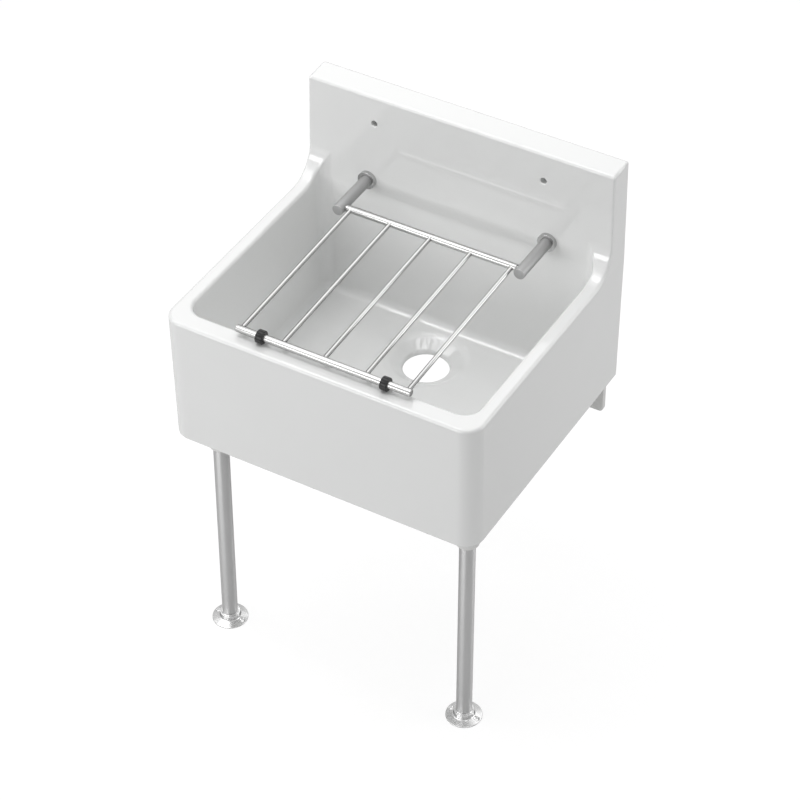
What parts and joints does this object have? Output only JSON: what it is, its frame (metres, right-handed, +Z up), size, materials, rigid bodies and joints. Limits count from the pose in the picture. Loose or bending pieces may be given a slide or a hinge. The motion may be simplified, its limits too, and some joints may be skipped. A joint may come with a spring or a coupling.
{
  "type": "cleaner's sink",
  "caption": "White fireclay cleaner's sink with a high upstand, a hinged stainless bucket grating on posts, and front legs with bearers to the wall.",
  "frame": {"origin": "on the wall plane at the back face of the fireclay, on the sink's centre line, at the level of the basin rim", "axes": "+X to the right as a person faces the sink, +Y into the wall, +Z up"},
  "size_m": [0.46, 0.4074, 0.732],
  "materials": {
    "fireclay_glaze": "white glaze on fireclay, glossy",
    "post_steel": "satin stainless steel",
    "grate_steel": "polished stainless steel rod",
    "leg_steel": "polished stainless steel tube",
    "flange_steel": "satin stainless steel",
    "bearer_metal": "cast aluminium, as cast",
    "zinc_fixings": "plain steel fixings",
    "fixing_rubber": "black rubber",
    "buffer_rubber": "black ribbed rubber"
  },
  "bodies": {
    "sink": {"sink_body": "fireclay_glaze", "left_hinge_post": "post_steel", "right_hinge_post": "post_steel", "left_post_rose": "post_steel", "right_post_rose": "post_steel", "post_studs": "zinc_fixings", "post_seals": "fixing_rubber", "post_washers": "zinc_fixings", "post_nuts": "zinc_fixings", "left_leg": "leg_steel", "right_leg": "leg_steel", "left_floor_flange": "flange_steel", "right_floor_flange": "flange_steel", "left_bearer": "bearer_metal", "right_bearer": "bearer_metal", "bearer_pads": "fixing_rubber", "leg_grub_screws": "zinc_fixings"},
    "grating": {"grate_back_bar": "grate_steel", "grate_front_bar": "grate_steel", "grate_rod_1": "grate_steel", "grate_rod_2": "grate_steel", "grate_rod_3": "grate_steel", "grate_rod_4": "grate_steel", "grate_rod_5": "grate_steel", "left_rubber_buffer": "buffer_rubber", "right_rubber_buffer": "buffer_rubber"}
  },
  "joints": [
    {"name": "grate_hinge", "type": "hinge", "parent": "sink", "child": "grating", "pos_m": [0, -0.111, 0.019], "axis": [-1, 0, 0], "range_deg": [0, 112]}
  ]
}
